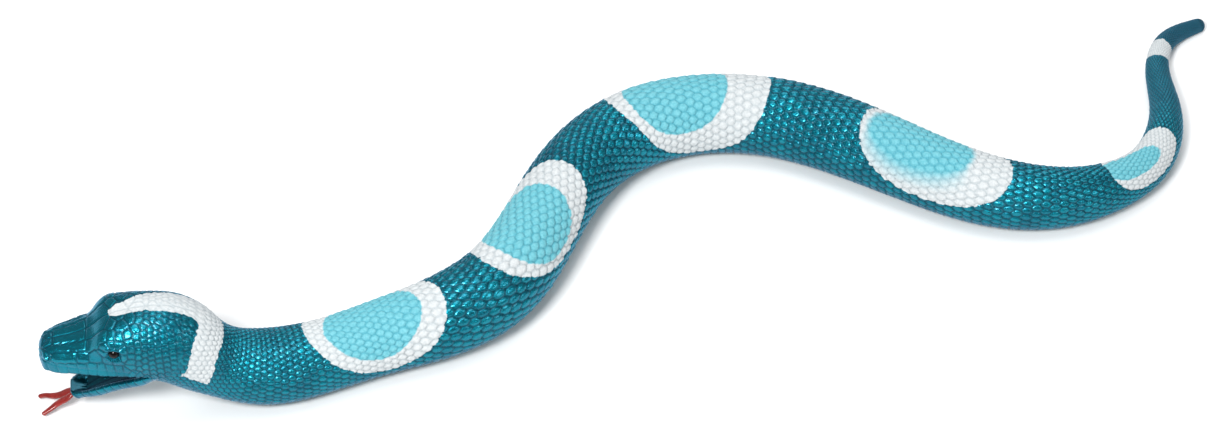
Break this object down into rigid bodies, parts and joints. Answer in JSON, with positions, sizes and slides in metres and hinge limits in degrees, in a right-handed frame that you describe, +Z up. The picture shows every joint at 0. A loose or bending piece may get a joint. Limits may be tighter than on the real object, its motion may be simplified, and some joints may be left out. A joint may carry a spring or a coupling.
{
  "type": "toy snake",
  "caption": "Bendable soft rubber toy snake lying in an S, with scaly painted skin, raised head, open mouth and forked tongue",
  "frame": {"origin": "middle of the footprint, on the surface that the belly lies on", "axes": "+X from head to tail along the longest extent, +Y to the side where the tail tip lies, +Z up"},
  "size_m": [0.584, 0.2872, 0.0656],
  "materials": {
    "skin": "metallic pearl teal paint over soft rubber, with matt white and pale blue patches",
    "tongue": "glossy red",
    "eye": "glossy black",
    "wire": "bare drawn wire"
  },
  "bodies": {
    "head": {"head": "skin", "wire_head": "wire", "eye_left": "eye", "eye_right": "eye"},
    "neck": {"neck": "skin", "wire_neck": "wire"},
    "body_01": {"body_01": "skin", "wire_body_01": "wire"},
    "body_02": {"body_02": "skin", "wire_body_02": "wire"},
    "body_03": {"body_03": "skin", "wire_body_03": "wire"},
    "body_04": {"body_04": "skin", "wire_body_04": "wire"},
    "body_05": {"body_05": "skin", "wire_body_05": "wire"},
    "body_06": {"body_06": "skin", "wire_body_06": "wire"},
    "body_07": {"body_07": "skin", "wire_body_07": "wire"},
    "body_08": {"body_08": "skin", "wire_body_08": "wire"},
    "body_09": {"body_09": "skin", "wire_body_09": "wire"},
    "tail_01": {"tail_01": "skin", "wire_tail_01": "wire"},
    "tail_02": {"tail_02": "skin", "wire_tail_02": "wire"},
    "tail_03": {"tail_03": "skin"},
    "tail_tip": {"tail_tip": "skin"},
    "lower_jaw": {"lower_jaw": "skin"},
    "tongue": {"tongue": "tongue"}
  },
  "joints": [
    {"name": "head_nod", "type": "hinge", "parent": "neck", "child": "head", "pos_m": [-0.21118, -0.12113, 0.02754], "axis": [-0.123, 0.9924, 0], "range_deg": [-25, 30]},
    {"name": "neck_turn", "type": "hinge", "parent": "body_01", "child": "neck", "pos_m": [-0.15866, -0.10946, 0.01681], "axis": [-0.0042, -0.0017, 1], "range_deg": [-34, 40]},
    {"name": "neck_lift", "type": "hinge", "parent": "body_02", "child": "body_01", "pos_m": [-0.10753, -0.08819, 0.01874], "axis": [-0.4145, 0.91, 0], "range_deg": [-25, 35]},
    {"name": "fore_bend_1", "type": "hinge", "parent": "body_03", "child": "body_02", "pos_m": [-0.06843, -0.0516, 0.01944], "axis": [0, 0, 1], "range_deg": [-20, 40]},
    {"name": "fore_bend_2", "type": "hinge", "parent": "body_04", "child": "body_03", "pos_m": [-0.04752, -0.00184, 0.01872], "axis": [0, 0, 1], "range_deg": [-40, 29]},
    {"name": "fore_twist", "type": "hinge", "parent": "body_05", "child": "body_04", "pos_m": [-0.01551, 0.03983, 0.01946], "axis": [0.8116, 0.5842, 0.0086], "range_deg": [-25, 25]},
    {"name": "mid_bend_1", "type": "hinge", "parent": "body_05", "child": "body_06", "pos_m": [0.03351, 0.05571, 0.01906], "axis": [0, 0, 1], "range_deg": [-13, 40]},
    {"name": "mid_bend_2", "type": "hinge", "parent": "body_06", "child": "body_07", "pos_m": [0.08319, 0.0446, 0.01903], "axis": [0, 0, 1], "range_deg": [-28, 40]},
    {"name": "rear_twist", "type": "hinge", "parent": "body_07", "child": "body_08", "pos_m": [0.12736, 0.02071, 0.01788], "axis": [0.8672, -0.4972, -0.0286], "range_deg": [-25, 25]},
    {"name": "rear_bend", "type": "hinge", "parent": "body_08", "child": "body_09", "pos_m": [0.17197, 0.00099, 0.01637], "axis": [0, 0, 1], "range_deg": [-40, 15]},
    {"name": "tail_lift", "type": "hinge", "parent": "body_09", "child": "tail_01", "pos_m": [0.2183, 0.00554, 0.0126], "axis": [0.4074, -0.9133, 0], "range_deg": [-25, 35]},
    {"name": "tail_bend_1", "type": "hinge", "parent": "tail_01", "child": "tail_02", "pos_m": [0.25221, 0.03483, 0.00936], "axis": [0, 0, 1], "range_deg": [-40, 15]},
    {"name": "tail_bend_2", "type": "hinge", "parent": "tail_02", "child": "tail_03", "pos_m": [0.2614, 0.0768, 0.00671], "axis": [0, 0, 1], "range_deg": [-40, 40], "stiffness_Nm_per_rad": 0.08},
    {"name": "tail_tip_bend", "type": "hinge", "parent": "tail_03", "child": "tail_tip", "pos_m": [0.26306, 0.11669, 0.00469], "axis": [0, 0, 1], "range_deg": [-10, 40], "stiffness_Nm_per_rad": 0.03},
    {"name": "jaw_open", "type": "hinge", "parent": "head", "child": "lower_jaw", "pos_m": [-0.236, -0.1234, 0.0322], "axis": [0.0872, -0.9962, 0], "range_deg": [-24, 12], "stiffness_Nm_per_rad": 0.15},
    {"name": "tongue_flex", "type": "hinge", "parent": "lower_jaw", "child": "tongue", "pos_m": [-0.2757, -0.12687, 0.01198], "axis": [0.0872, -0.9962, 0], "range_deg": [-10, 8], "stiffness_Nm_per_rad": 0.02}
  ]
}
